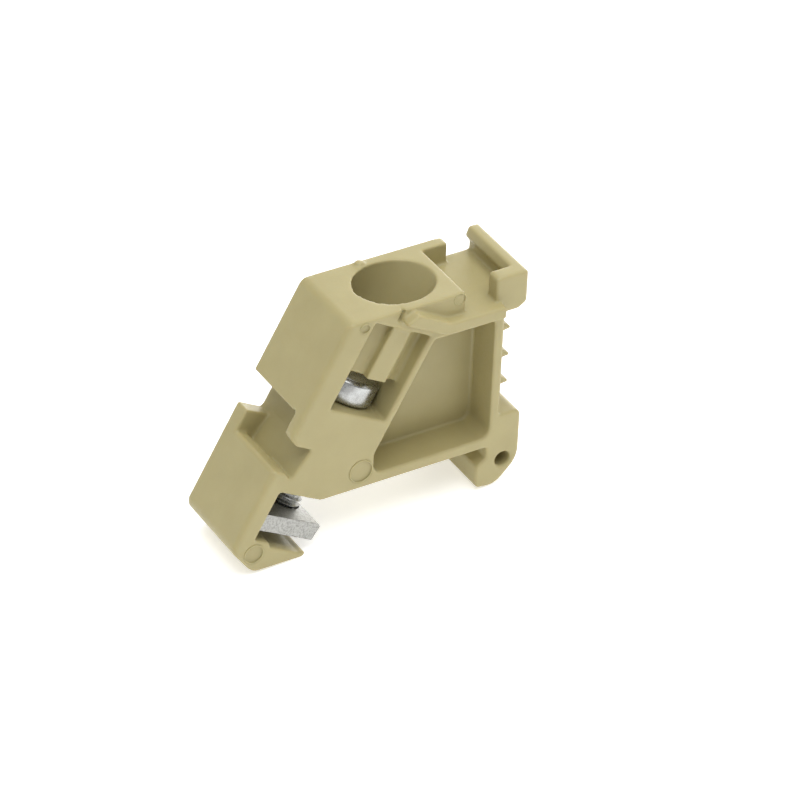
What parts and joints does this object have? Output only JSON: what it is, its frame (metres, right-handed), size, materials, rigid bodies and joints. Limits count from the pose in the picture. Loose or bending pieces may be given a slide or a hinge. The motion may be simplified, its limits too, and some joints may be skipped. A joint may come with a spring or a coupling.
{
  "type": "din rail end stop",
  "caption": "Slim beige rail end stop with a fixed foot, open pockets and a leaning screw that draws a steel clamp plate up under the rail flange.",
  "frame": {"origin": "on the rail's centre line, on the plane of the rail's top face", "axes": "+X across the rail from the clamp side to the fixed foot, +Y along the rail, +Z away from the rail"},
  "size_m": [0.0252, 0.0084, 0.0205],
  "materials": {
    "moulded_plastic": "fine satin moulded surface",
    "plated_steel": "dull zinc-plated screw",
    "stamped_steel": "dull zinc-plated stamping with a grainy surface"
  },
  "bodies": {
    "housing": {"housing": "moulded_plastic"},
    "screw": {"clamp_screw": "plated_steel"},
    "plate": {"clamp_plate": "stamped_steel"}
  },
  "joints": [
    {"name": "screw_turn", "type": "hinge", "parent": "housing", "child": "screw", "pos_m": [-0.00396, 0, 0.00688], "axis": [0.4848, 0, 0.8746], "range_deg": [-1477, 505]},
    {"name": "plate_slide", "type": "slide", "parent": "housing", "child": "plate", "axis": [0.4848, 0, 0.8746], "range_m": [-0.0007, 0.00205]}
  ],
  "couplings": [
    {"joint": "screw_turn", "follows": "plate_slide", "rad_per_m": -12566}
  ]
}
